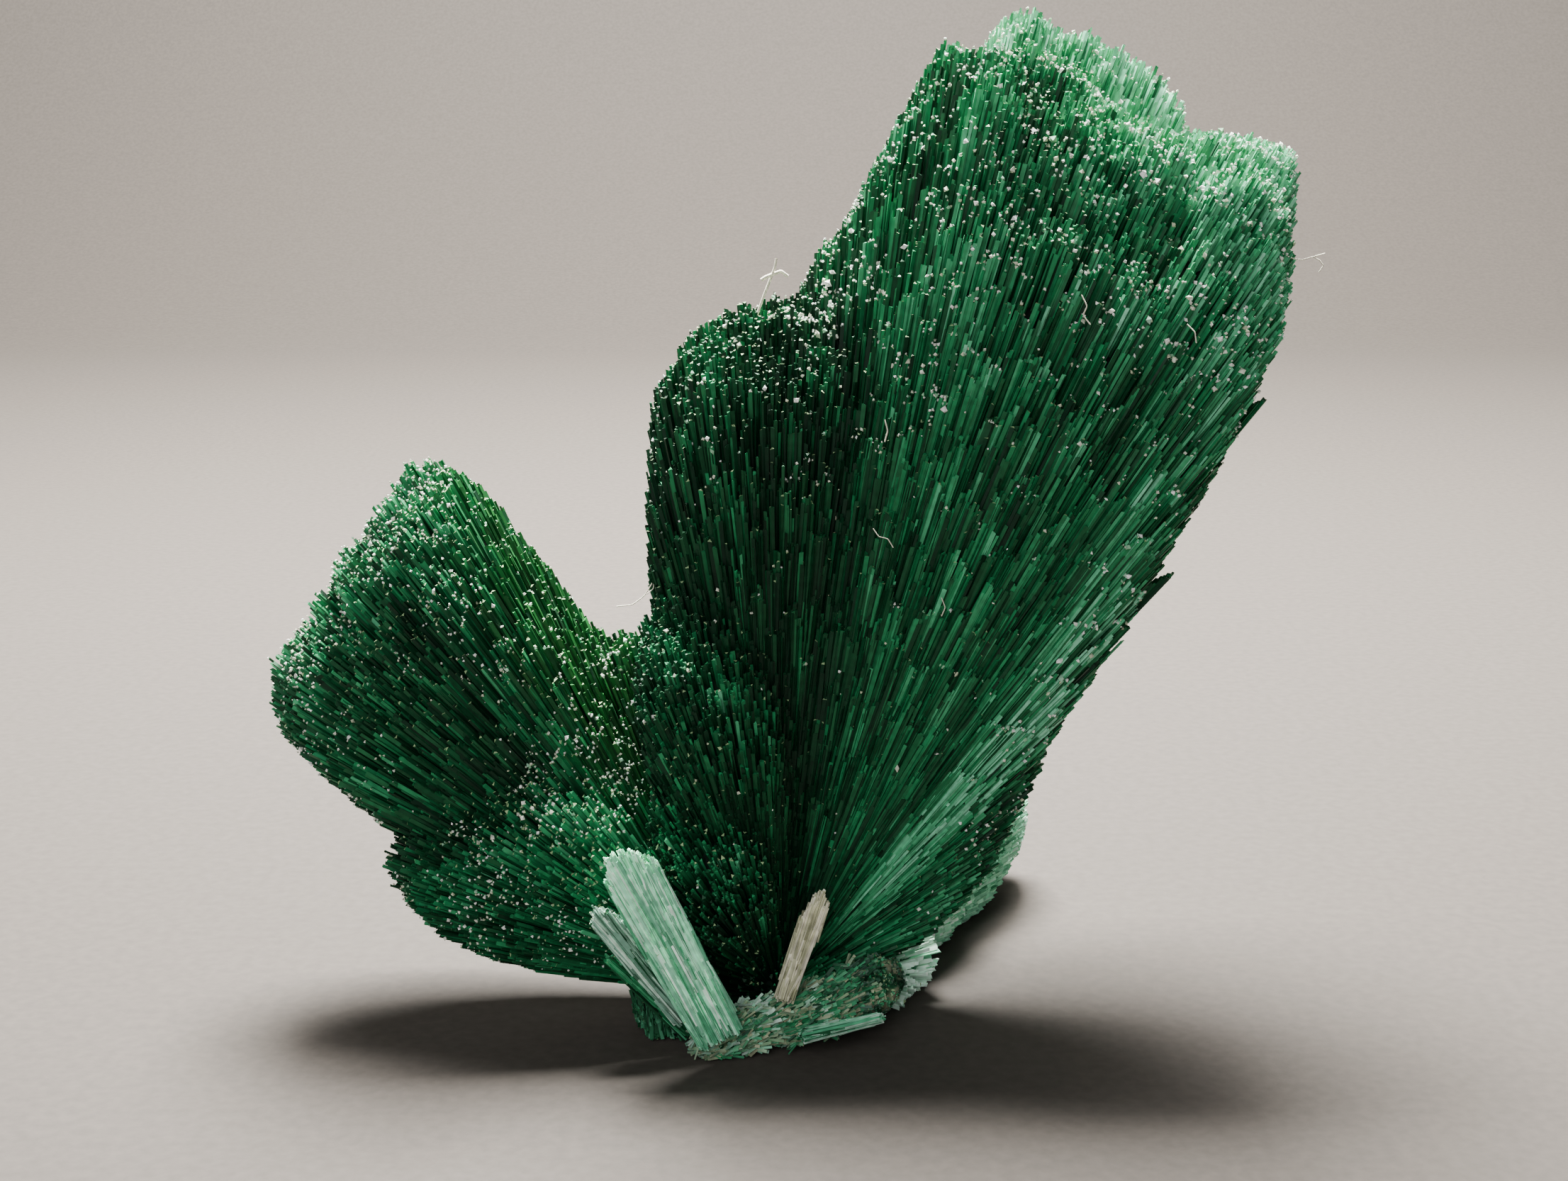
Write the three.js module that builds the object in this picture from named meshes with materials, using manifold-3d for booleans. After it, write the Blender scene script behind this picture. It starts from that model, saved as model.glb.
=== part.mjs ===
// A malachite specimen: sprays of needle crystals that fan out from one broken root.
// Millimetres, +Z up, +X to the right and +Y away from the side that is seen first.
// The pieces are placed from the tip of the front foot and then centred over the origin.

import * as THREE from "three";
import { mergeVertices } from "three/addons/utils/BufferGeometryUtils.js";
import Module from "manifold-3d";

const wasm = await Module();
wasm.setup();

// Clear space left between pieces that grew against each other
const GROWTH_GAP = 0.3;
// Share of a crystal bundle's width that its bevelled edge takes
const BUNDLE_BEVEL = 0.13;
// How much the bundles of one lobe differ in length, as a share of it
const BUNDLE_JITTER = 0.022;
// Largest distance by which a finished solid may be tidied
const TIDY_DISTANCE = 0.012;

// Where the needles of each spray start
const MAIN_ROOT = [1.8, 3.0, 0.65];
const LEFT_ROOT = [0.74, 4.0, 0.1];
const REAR_ROOT = [3.2, 4.2, 0.5];

const GREENS = {
  deep: { color: 0x0f5a32, roughness: 0.55, metalness: 0 },
  dusty: { color: 0x1b6238, roughness: 0.65, metalness: 0 },
  pale: { color: 0x8fdcb4, roughness: 0.6, metalness: 0 },
  grey: { color: 0x7fae98, roughness: 0.6, metalness: 0 },
  mint: { color: 0x9fe6c4, roughness: 0.7, metalness: 0 },
  mottled: { color: 0x4c7a52, roughness: 0.75, metalness: 0 },
  tan: { color: 0xb9b597, roughness: 0.7, metalness: 0 },
};

// Each lobe is a rounded wedge of needles. Its outline gives the needles' length, in millimetres,
// at angles from straight up in the lobe's own plane. Front and back are half thicknesses in degrees.
const MAIN_LOBES = [
  {
    name: "tall",
    yaw: 12,
    lean: 8,
    front: 20,
    back: 17,
    crown: 2.3,
    blunt: 2.3,
    bundles: [24, 12],
    outline: [
      [3, 20], [6.4, 22.6], [8.8, 24.9], [10.8, 27.5], [12.8, 28.6], [16, 28.6], [20.2, 28],
      [26.8, 28.2], [31, 28.6], [34.3, 28.4], [36.8, 26.6], [39, 22.8], [41.2, 19.2], [43.6, 15.8],
      [46, 13], [50, 10.5], [55.6, 8.8], [62.2, 7.4], [68.3, 5.8], [76, 4.4],
    ],
  },
  {
    name: "top_behind",
    yaw: 12,
    lean: 16,
    front: 7,
    back: 11,
    crown: 2.2,
    blunt: 3,
    bundles: [8, 5],
    outline: [[14, 28], [16.5, 30.2], [18, 31.1], [21.5, 31.7], [25, 31.4], [28.2, 30.4], [31, 27.8]],
  },
  {
    name: "upper_left",
    yaw: 12,
    lean: 6,
    front: 14,
    back: 13,
    crown: 1.7,
    blunt: 5,
    bundles: [7, 7],
    outline: [[-16, 13], [-12, 16.2], [-9.5, 18.2], [-6.3, 19.7], [-2, 20.1], [2.7, 20.2], [7, 18.8]],
  },
  {
    name: "middle_left",
    yaw: 12,
    lean: 0,
    front: 22,
    back: 15,
    crown: 1.6,
    blunt: 5,
    bundles: [7, 7],
    outline: [[-29, 8], [-23, 11], [-17.5, 12.5], [-11, 12.3], [-5, 11.3], [1, 9.2]],
  },
  {
    name: "lower_left",
    yaw: 12,
    lean: -7,
    front: 35,
    back: 24,
    crown: 1.6,
    blunt: 5,
    bundles: [7, 7],
    outline: [[-54, 3.6], [-42, 5.8], [-33, 7.3], [-23, 7.3], [-14, 6.9], [-4, 5.6]],
  },
];

const LEFT_LOBES = [
  {
    name: "pyramid",
    yaw: -6,
    lean: 2,
    front: 20,
    back: 18,
    crown: 1.8,
    blunt: 2.2,
    bundles: [13, 8],
    outline: [
      [-66, 9], [-62.5, 13.8], [-60.2, 16.5], [-56.7, 17.4], [-47.7, 17.6], [-38.5, 17.9],
      [-34, 18.8], [-29.7, 18.9], [-26.8, 17.6], [-25.2, 14.9], [-22.5, 11.8], [-17, 8],
    ],
  },
  {
    name: "low_dome",
    yaw: -2,
    lean: -10,
    front: 25,
    back: 16,
    crown: 1.7,
    blunt: 3.2,
    bundles: [11, 6],
    outline: [
      [-76, 5.5], [-73.5, 9.4], [-70, 10.8], [-65, 11.2], [-56, 11], [-48, 10.7], [-39, 10.3],
      [-32.6, 9.7], [-26, 8.2], [-20, 5.5],
    ],
  },
  {
    name: "cleft",
    yaw: 6,
    lean: 8,
    front: 11,
    back: 16,
    crown: 2,
    blunt: 3,
    bundles: [6, 5],
    outline: [[-27, 9.8], [-21.5, 11.6], [-16, 11.9], [-9, 11.4], [-3, 9.5]],
  },
];

// The rear spray lies back along the floor, so its lean is close to a right angle
const REAR_LOBES = [
  {
    name: "far",
    yaw: -26,
    lean: 76,
    front: 19,
    back: 24,
    crown: 2,
    blunt: 3,
    bundles: [8, 5],
    outline: [[-32, 8.6], [-22, 11], [-12, 12.6], [0, 13.4], [8, 13.2], [13, 11.2], [19, 7.4]],
  },
  {
    name: "middle",
    yaw: -26,
    lean: 72,
    front: 24,
    back: 27,
    crown: 2,
    blunt: 3.4,
    bundles: [6, 5],
    outline: [[6, 7.2], [12, 8], [18, 7.6], [23, 6], [30, 4.4]],
  },
  {
    name: "near",
    yaw: -26,
    lean: 68,
    front: 30,
    back: 30,
    crown: 2,
    blunt: 3.4,
    bundles: [6, 4],
    outline: [[28, 3.2], [38, 3.8], [52, 3.6], [72, 3], [96, 2.7], [112, 2]],
  },
];

// Broken-off bundles of needles. Each is a row of strips between a base and a tip.
const SPLINTERS = {
  pale_splinter: {
    base: [0.05, -0.7, 1.1],
    tip: [-2.6, -0.5, 6.35],
    width: [1.35, 1.6],
    depth: 0.5,
    reach: [0.92, 1, 0.99, 0.975, 0.95, 0.89],
    material: "pale",
  },
  grey_splinter: {
    base: [-0.95, 0.2, 1.25],
    tip: [-3.25, 0, 4.5],
    width: [0.7, 0.95],
    depth: 0.4,
    reach: [0.97, 1.02, 0.95, 0.84],
    material: "grey",
  },
  dark_splinter: {
    base: [-0.8, 0.75, 0.5],
    tip: [-2.95, 0.55, 2.95],
    width: [0.5, 0.7],
    depth: 0.35,
    reach: [1, 0.94, 0.82],
    material: "deep",
  },
  tan_splinter: {
    base: [2, 0.2, 1.8],
    tip: [2.98, 0.75, 4.75],
    width: [0.42, 0.75],
    depth: 0.35,
    reach: [0.8, 0.94, 1, 0.9],
    material: "tan",
  },
  right_splinter: {
    base: [2.6, -0.4, 0.85],
    tip: [4.8, 0.2, 1.1],
    width: [0.4, 0.5],
    depth: 0.3,
    reach: [0.9, 1, 0.94],
    material: "pale",
  },
};

// Lumps of the broken root, as centre and radii
const ROOT_LUMPS = [
  [[0.1, 0.15, 0.55], [0.62, 0.6, 0.72]],
  [[0.95, 0.4, 0.75], [0.95, 0.7, 0.68]],
  [[2.0, 0.75, 0.85], [1.05, 0.8, 0.75]],
  [[3.1, 1.2, 0.95], [1.05, 0.9, 0.85]],
  [[4.15, 1.7, 1.15], [0.95, 0.95, 0.95]],
  [[4.75, 2.2, 1.35], [0.75, 0.9, 0.8]],
];

// Solid crystal where the lobes of each spray start, as centre and radii
const MAIN_CORE = [
  [[1.0, 2.5, 1.15], [1.45, 1.1, 1.05]],
  [[2.7, 3.1, 1.35], [1.4, 1.2, 1.05]],
];
const LEFT_CORE = [[[-0.2, 4.3, 1.2], [1.5, 1.4, 1.15]]];
const REAR_CORE = [[[3.5, 5.5, 0.95], [1.7, 1.6, 1.05]]];

// Chips under the left spray that reach the floor, as top, toe and width
const LEFT_FOOT_CHIPS = [
  [[-2.0, 1.9, 0.85], [-1.75, 1.2, 0], 0.6],
  [[-1.45, 1.75, 0.85], [-1.15, 1.25, 0], 0.6],
  [[-2.25, 2.2, 0.9], [-2.2, 2.1, 0.1], 0.45],
];

const degrees = THREE.MathUtils.degToRad;
const vector = (values) => new THREE.Vector3(...values);

// A repeatable number from 0 to 1 for three whole numbers
function chance(i, j, k) {
  const wave = Math.sin(i * 12.9898 + j * 78.233 + k * 37.719) * 43758.5453;
  return wave - Math.floor(wave);
}

// A closed geometry as a solid with its faces pointing out
function solidOf(geometry) {
  const bare = new THREE.BufferGeometry().setAttribute("position", geometry.getAttribute("position"));
  bare.setIndex(geometry.index);
  const merged = mergeVertices(bare, 1e-4);
  const build = (triVerts) =>
    new wasm.Manifold(
      new wasm.Mesh({ numProp: 3, vertProperties: merged.attributes.position.array, triVerts }),
    );
  const faces = new Uint32Array(merged.index.array);
  const made = build(faces);
  return made.volume() > 0 ? made : build(faces.slice().reverse());
}

// A solid as the geometry of its largest body
function geometryOf(solid) {
  const bodies = solid.simplify(TIDY_DISTANCE).decompose();
  bodies.sort((a, b) => b.volume() - a.volume());
  const { vertProperties, triVerts, numProp } = bodies[0].getMesh();
  const places = new Float32Array((vertProperties.length / numProp) * 3);
  for (let i = 0; i < places.length / 3; i++)
    places.set(vertProperties.subarray(i * numProp, i * numProp + 3), i * 3);
  const geometry = new THREE.BufferGeometry();
  geometry.setAttribute("position", new THREE.BufferAttribute(places, 3));
  geometry.setIndex(new THREE.BufferAttribute(triVerts, 1));
  return geometry;
}

const joined = (solids) => solids.reduce((whole, piece) => whole.add(piece));
const without = (solid, cutters) => cutters.reduce((left, cutter) => left.subtract(cutter), solid);

// The length of the needles at an angle, read off a lobe's outline
function reachAt(outline, angle) {
  const next = Math.max(1, outline.findIndex(([at]) => at >= angle));
  const [a, from] = outline[next - 1];
  const [b, to] = outline[next];
  return THREE.MathUtils.lerp(from, to, THREE.MathUtils.clamp((angle - a) / (b - a), 0, 1));
}

// The three axes of a lobe: across it, along its middle, and out of its front
function lobeAxes({ yaw, lean }) {
  const across = new THREE.Vector3(Math.cos(degrees(yaw)), Math.sin(degrees(yaw)), 0);
  const away = new THREE.Vector3(-across.y, across.x, 0);
  const along = away.multiplyScalar(Math.sin(degrees(lean))).setZ(Math.cos(degrees(lean)));
  return { across, along, out: new THREE.Vector3().crossVectors(across, along) };
}

// One lobe as a solid of square crystal bundles. The smooth form holds every bundle inside it.
function lobeSolid(lobe, root, smooth = false) {
  const WAIST = 0.16;
  const EDGE = 0.35;
  const [columns, layers] = lobe.bundles.map((count) => (smooth ? Math.ceil(count * 0.6) : count));
  const first = lobe.outline[0][0];
  const last = lobe.outline.at(-1)[0];
  const { across, along, out } = lobeAxes(lobe);
  const throughAt = (share) => Math.sin((Math.PI / 2) * (2 * share - 1));
  const place = (acrossShare, through, length) => {
    const angle = degrees(THREE.MathUtils.lerp(first, last, acrossShare));
    const taper = EDGE + (1 - EDGE) * Math.sqrt(1 - Math.abs(2 * acrossShare - 1) ** 3);
    const tilt = degrees(through * taper * (through > 0 ? lobe.front : lobe.back));
    return new THREE.Vector3()
      .addScaledVector(across, Math.cos(tilt) * Math.sin(angle))
      .addScaledVector(along, Math.cos(tilt) * Math.cos(angle))
      .addScaledVector(out, Math.sin(tilt))
      .multiplyScalar(length)
      .add(vector(root));
  };
  const lengthAt = (w, d) => {
    const angle = THREE.MathUtils.lerp(first, last, w.at);
    const through = Math.min(1, Math.abs(throughAt(d.at)));
    const dome = (1 - through ** lobe.crown) ** (1 / lobe.blunt);
    const jitter = smooth ? 1 : 2 * chance(w.cell, d.cell, lobe.outline.length) - 1;
    return reachAt(lobe.outline, angle) * (WAIST + (1 - WAIST) * dome) * (1 + BUNDLE_JITTER * jitter);
  };
  // Both edges of every bundle, drawn in by the bevel except at the sides of the lobe
  const edges = (count) =>
    Array.from({ length: 2 * count }, (_, k) => {
      const cell = k >> 1;
      const outer = k === 0 || k === 2 * count - 1;
      const inset = outer ? 0 : k & 1 ? -BUNDLE_BEVEL : BUNDLE_BEVEL;
      return { cell, at: (cell + (k & 1) + inset) / count };
    });
  const wide = edges(columns);
  const deep = edges(layers);
  const places = [];
  for (const w of wide)
    for (const d of deep) places.push(...place(w.at, throughAt(d.at), lengthAt(w, d)));
  places.push(...root);
  const apex = wide.length * deep.length;
  const at = (i, j) => i * deep.length + j;
  const faces = [];
  for (let i = 0; i + 1 < wide.length; i++) {
    for (let j = 0; j + 1 < deep.length; j++)
      faces.push(at(i, j), at(i + 1, j), at(i + 1, j + 1), at(i, j), at(i + 1, j + 1), at(i, j + 1));
    faces.push(apex, at(i + 1, 0), at(i, 0));
    faces.push(apex, at(i, deep.length - 1), at(i + 1, deep.length - 1));
  }
  for (let j = 0; j + 1 < deep.length; j++) {
    faces.push(apex, at(0, j), at(0, j + 1));
    faces.push(apex, at(wide.length - 1, j + 1), at(wide.length - 1, j));
  }
  const geometry = new THREE.BufferGeometry();
  geometry.setAttribute("position", new THREE.Float32BufferAttribute(places, 3));
  geometry.setIndex(faces);
  return solidOf(geometry);
}

// A straight strip of needles with a square section, narrower or wider at its far end
function stripSolid(from, to, side, widths, depths) {
  const along = new THREE.Vector3().subVectors(to, from);
  const across = side.clone().projectOnPlane(along.clone().normalize()).normalize();
  const out = new THREE.Vector3().crossVectors(across, along).normalize();
  const box = new THREE.BoxGeometry(1, 1, 1);
  const places = box.getAttribute("position");
  for (let i = 0; i < places.count; i++) {
    const end = places.getZ(i) + 0.5;
    const point = from.clone().addScaledVector(along, end);
    point.addScaledVector(across, places.getX(i) * THREE.MathUtils.lerp(...widths, end));
    point.addScaledVector(out, places.getY(i) * THREE.MathUtils.lerp(...depths, end));
    places.setXYZ(i, ...point);
  }
  return solidOf(box);
}

// A splinter: strips side by side, each with its own length and thickness
function splinterSolid({ base, tip, width, depth, reach }) {
  const OVERLAP = 1.25;
  const side = new THREE.Vector3(1, 0.1, 0.25);
  const from = vector(base);
  const to = vector(tip);
  const across = side.clone().projectOnPlane(to.clone().sub(from).normalize()).normalize();
  return joined(
    reach.map((share, i) => {
      const offset = (i + 0.5) / reach.length - 0.5;
      const start = from.clone().addScaledVector(across, offset * width[0]);
      const end = from.clone().lerp(to, share).addScaledVector(across, offset * width[1]);
      const thick = depth * (0.75 + 0.5 * chance(i, reach.length, 5));
      const widths = width.map((w) => (w / reach.length) * OVERLAP);
      return stripSolid(start, end, across, widths, [thick, thick * 0.6]);
    }),
  );
}

// A rough lump of broken root
function lumpSolid([centre, radii], seed) {
  const ROUGHNESS = 0.22;
  const ball = mergeVertices(new THREE.IcosahedronGeometry(1, 1).deleteAttribute("normal").deleteAttribute("uv"));
  const places = ball.getAttribute("position");
  for (let i = 0; i < places.count; i++) {
    const point = new THREE.Vector3().fromBufferAttribute(places, i);
    const bump = 1 + ROUGHNESS * (chance(i, seed, 3) - 0.5);
    point.multiplyScalar(bump).multiply(vector(radii)).add(vector(centre));
    places.setXYZ(i, ...point);
  }
  return solidOf(ball);
}

// Everything above the floor
const BUILD_SPACE = 200;
const aboveFloor = solidOf(new THREE.BoxGeometry(BUILD_SPACE, BUILD_SPACE, BUILD_SPACE).translate(0, 0, BUILD_SPACE / 2));

// A solid grown by the gap on every side, by joining copies of it moved out to all sides
function swollen(solid) {
  const ICOSAHEDRON_REACH = 0.79;
  const corners = mergeVertices(
    new THREE.IcosahedronGeometry(GROWTH_GAP / ICOSAHEDRON_REACH, 0).deleteAttribute("normal").deleteAttribute("uv"),
  ).getAttribute("position");
  const copies = Array.from({ length: corners.count }, (_, i) =>
    solid.translate(corners.getX(i), corners.getY(i), corners.getZ(i)),
  );
  return joined(copies);
}

const crust = joined(ROOT_LUMPS.map(lumpSolid));
const sprayOf = (lobes, root, cores, smooth) =>
  joined([...lobes.map((lobe) => lobeSolid(lobe, root, smooth)), ...cores.map(lumpSolid)]);

const mainCutter = swollen(sprayOf(MAIN_LOBES, MAIN_ROOT, MAIN_CORE, true));
const leftCutter = swollen(sprayOf(LEFT_LOBES, LEFT_ROOT, LEFT_CORE, true));
const crustCutter = swollen(crust);

function leftFootSolid() {
  const side = new THREE.Vector3(1, 0, 0);
  return joined(
    LEFT_FOOT_CHIPS.map(([top, toe, width]) =>
      stripSolid(vector(top), vector(toe), side, [width, width * 0.6], [width, width * 0.7]),
    ),
  );
}

const specimen = new THREE.Group();
specimen.name = "malachite";

function addPiece(name, solid, material) {
  const mesh = new THREE.Mesh(geometryOf(solid.intersect(aboveFloor)), new THREE.MeshStandardMaterial(material));
  mesh.name = name;
  specimen.add(mesh);
}

addPiece("main_spray", sprayOf(MAIN_LOBES, MAIN_ROOT, MAIN_CORE), GREENS.deep);
addPiece("left_spray", without(sprayOf(LEFT_LOBES, LEFT_ROOT, LEFT_CORE), [mainCutter, crustCutter]), GREENS.dusty);
addPiece(
  "rear_spray",
  without(sprayOf(REAR_LOBES, REAR_ROOT, REAR_CORE), [mainCutter, leftCutter, crustCutter]),
  GREENS.mint,
);
addPiece("root_crust", without(crust, [mainCutter]), GREENS.mottled);
addPiece("left_foot", without(leftFootSolid(), [mainCutter, leftCutter, crustCutter]), GREENS.dusty);
let splinterCutters = [mainCutter, leftCutter, crustCutter];
for (const [name, splinter] of Object.entries(SPLINTERS)) {
  const solid = without(splinterSolid(splinter), splinterCutters);
  addPiece(name, solid, GREENS[splinter.material]);
  splinterCutters = [...splinterCutters, swollen(splinterSolid(splinter))];
}

// The origin is under the middle of the whole specimen
const extent = new THREE.Box3().setFromObject(specimen);
const middle = extent.getCenter(new THREE.Vector3());
specimen.position.set(-middle.x, -middle.y, -extent.min.z);

export default specimen;
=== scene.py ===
"""A malachite specimen: sprays of needle crystals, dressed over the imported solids."""

import math
from types import SimpleNamespace

import bpy
import numpy as np
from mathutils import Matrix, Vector


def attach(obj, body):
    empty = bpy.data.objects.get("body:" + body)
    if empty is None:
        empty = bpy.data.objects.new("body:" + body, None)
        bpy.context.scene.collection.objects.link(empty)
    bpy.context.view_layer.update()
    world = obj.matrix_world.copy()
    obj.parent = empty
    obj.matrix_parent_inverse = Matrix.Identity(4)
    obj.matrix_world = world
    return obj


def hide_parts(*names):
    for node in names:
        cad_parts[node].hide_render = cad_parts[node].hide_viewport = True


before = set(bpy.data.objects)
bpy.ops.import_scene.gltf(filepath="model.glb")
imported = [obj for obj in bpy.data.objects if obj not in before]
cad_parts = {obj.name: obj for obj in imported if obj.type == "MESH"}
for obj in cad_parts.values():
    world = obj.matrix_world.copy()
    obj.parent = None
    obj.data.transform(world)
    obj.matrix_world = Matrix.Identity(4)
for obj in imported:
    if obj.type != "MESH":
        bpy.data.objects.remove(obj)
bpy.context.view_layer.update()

MM = 0.001
# The specimen's own frame starts at the tip of its front foot. The origin is under its middle.
FOOT_TO_ORIGIN = np.array([-1.6915, -7.4975, 0.0])

# Where the needles of each spray start, from the front foot, in millimetres
MAIN_ROOT = np.array([1.8, 3.0, 0.65])
LEFT_ROOT = np.array([0.74, 4.0, 0.1])
REAR_ROOT = np.array([3.2, 4.2, 0.5])

# The photo's camera, from the front foot, in millimetres
CAMERA_PLACE = np.array([1.937, -57.428, 26.866])
CAMERA_PITCH = 13.0
CAMERA_LENS = 50.0

# A needle's width, how many needles end on a square millimetre, and how many lie along one
NEEDLE_WIDTH = 0.1
ENDS_PER_MM2 = 80.0
SIDES_PER_MM2 = 40.0
# The bundles that the needles of a side break off in
BUNDLE_WIDTH = 0.27
BUNDLE_LENGTH = 1.8
# How far the solid under the needles is sunk, so that it shows only as the dark between them
CORE_SINK = 0.55
REAR_CORE_SINK = 0.4
# The lowest that the end of a needle comes to the floor
FLOOR_GAP = 0.08
# Nearer to the root than this the needles grow fewer, down to this share
SPARSE_REACH = 6.0
SPARSE_SHARE = 0.35

# Where the tall spray changes, in degrees from upright about its root
COLUMN_ANGLE = 4.0
FLANK_ANGLE = 24.0
# The next three angles place the painted sheen and the painted highlight line on the right flank
SIDE_SHEEN_ANGLE = 36.0
SHEEN_ANGLE = 42.0
HIGHLIGHT_LINE_ANGLE = 40.3

# How many grains of dust lie on each spray, and their smallest and largest half sizes
MAIN_GRAINS = 6300
LEFT_GRAINS = 4300
GRAIN_SIZES = (0.025, 0.075)


def from_foot(point):
    """A place in millimetres from the front foot as metres in the row's frame."""
    return (np.asarray(point, float) + FOOT_TO_ORIGIN) * MM


# Small numeric helpers


def hashed(*keys):
    """A repeatable number from 0 to 1 for each row of whole numbers."""
    mix = np.zeros(len(keys[0]))
    for k, key in enumerate(keys):
        mix += key * (12.9898 + 65.2451 * k)
    wave = np.sin(mix) * 43758.5453
    return wave - np.floor(wave)


def steps(points, size, seed):
    """Block noise: one random number from -1 to 1 for each cell of that size."""
    cell = np.floor(points / size)
    return 2 * hashed(cell[:, 0], cell[:, 1], cell[:, 2] + 31 * seed) - 1


def waves(points, size, seed):
    """Smooth noise from -1 to 1, from a few sine waves in different directions."""
    rng = np.random.default_rng(seed)
    total = np.zeros(len(points))
    for _ in range(7):
        direction = rng.normal(size=3)
        direction *= rng.uniform(0.6, 1.7) / np.linalg.norm(direction)
        total += np.sin(points @ direction * (2 * math.pi / size) + rng.uniform(0, 7))
    return np.clip(total / 3.2, -1, 1)


def unit(vectors):
    """The vectors, each made one long."""
    return vectors / np.maximum(np.linalg.norm(vectors, axis=-1, keepdims=True), 1e-12)


def bell(values, middle, width):
    """A share that is 1 at the middle and fades away over a width on both sides."""
    return np.exp(-(((values - middle) / width) ** 2))


def rise(values, start, width, least=0.0):
    """A share that grows to 1 while the values go up from a start over a width."""
    return np.clip((values - start) / width, least, 1)


def fall(values, end, width, least=0.0):
    """A share that shrinks from 1 while the values come up to an end over a width."""
    return np.clip((end - values) / width, least, 1)


# Meshes


def mesh_arrays(obj):
    """Corners and triangles of an object's mesh, in millimetres from the front foot."""
    mesh = obj.data
    mesh.calc_loop_triangles()
    corners = np.empty(len(mesh.vertices) * 3)
    mesh.vertices.foreach_get("co", corners)
    triangles = np.empty(len(mesh.loop_triangles) * 3, dtype=np.int32)
    mesh.loop_triangles.foreach_get("vertices", triangles)
    return corners.reshape(-1, 3) / MM - FOOT_TO_ORIGIN, triangles.reshape(-1, 3)


def object_from(name, corners, faces, colours=None, material=None, smooth=False):
    """A new object from places in millimetres, faces of equal length and colours per corner."""
    mesh = bpy.data.meshes.new(name)
    size = faces.shape[1]
    mesh.vertices.add(len(corners))
    mesh.vertices.foreach_set("co", from_foot(corners).ravel())
    mesh.loops.add(faces.size)
    mesh.loops.foreach_set("vertex_index", faces.ravel().astype(np.int32))
    mesh.polygons.add(len(faces))
    mesh.polygons.foreach_set("loop_start", np.arange(0, faces.size, size, dtype=np.int32))
    mesh.update(calc_edges=True)
    mesh.validate()
    if colours is not None:
        layer = mesh.color_attributes.new("Tint", "FLOAT_COLOR", "POINT")
        rgba = np.ones((len(corners), 4))
        rgba[:, :3] = colours
        layer.data.foreach_set("color", rgba.ravel())
    mesh.polygons.foreach_set("use_smooth", np.full(len(faces), smooth))
    if material:
        mesh.materials.append(material)
    obj = bpy.data.objects.new(name, mesh)
    bpy.context.scene.collection.objects.link(obj)
    return obj


def soft_copy(node, voxel, rounds):
    """A rounded copy of a CAD node with an even mesh."""
    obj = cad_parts[node].copy()
    obj.data = obj.data.copy()
    obj.data.materials.clear()
    bpy.context.scene.collection.objects.link(obj)
    remesh = obj.modifiers.new("even", "REMESH")
    remesh.mode = "VOXEL"
    remesh.voxel_size = voxel * MM
    smooth = obj.modifiers.new("soften", "SMOOTH")
    smooth.iterations = rounds
    view = bpy.context.evaluated_depsgraph_get()
    mesh = bpy.data.meshes.new_from_object(obj.evaluated_get(view))
    bpy.data.objects.remove(obj)
    mesh.polygons.foreach_set("use_smooth", np.full(len(mesh.polygons), True))
    core = bpy.data.objects.new(node + "_core", mesh)
    bpy.context.scene.collection.objects.link(core)
    return core


def sink(obj, depth):
    """Moves an object's surface inwards by a depth in millimetres."""
    mesh = obj.data
    places = np.empty(len(mesh.vertices) * 3)
    normals = np.empty(len(mesh.vertices) * 3)
    mesh.vertices.foreach_get("co", places)
    mesh.vertex_normals.foreach_get("vector", normals)
    mesh.vertices.foreach_set("co", places - normals * depth * MM)
    mesh.update()


def hollows(corners, triangles, rounds=30):
    """How far each corner lies below its surroundings, in millimetres. Ridges are negative."""
    a, b, c = (triangles[:, k] for k in range(3))
    start, end = np.concatenate([a, b, c, b, c, a]), np.concatenate([b, c, a, a, b, c])
    shares = np.bincount(start, minlength=len(corners))
    level = corners.copy()
    for _ in range(rounds):
        for axis in range(3):
            total = np.bincount(start, level[end, axis], minlength=len(corners))
            level[:, axis] += 0.5 * (total / shares - level[:, axis])
    face = np.cross(corners[b] - corners[a], corners[c] - corners[a])
    normals = np.zeros_like(corners)
    for k in range(3):
        np.add.at(normals, triangles[:, k], face)
    return np.einsum("ij,ij->i", level - corners, unit(normals))


def sample(corners, triangles, weights, count, rng):
    """Random places on a mesh, by area and weight, with the normals and the triangles there."""
    a, b, c = (corners[triangles[:, k]] for k in range(3))
    cross = np.cross(b - a, c - a)
    area = np.linalg.norm(cross, axis=1) / 2
    share = area * weights
    chosen = rng.choice(len(triangles), size=count, p=share / share.sum())
    u, v = rng.random((2, count))
    over = u + v > 1
    u[over], v[over] = 1 - u[over], 1 - v[over]
    places = a[chosen] + (b - a)[chosen] * u[:, None] + (c - a)[chosen] * v[:, None]
    return places, unit(cross)[chosen], chosen


# Needles

# The faces of one needle: three sides, a blunt end and a closed foot
NEEDLE_FACES = np.array(
    [[0, 1, 4], [0, 4, 3], [1, 2, 5], [1, 5, 4], [2, 0, 3], [2, 3, 5], [6, 7, 8], [2, 1, 0]]
)


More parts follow.
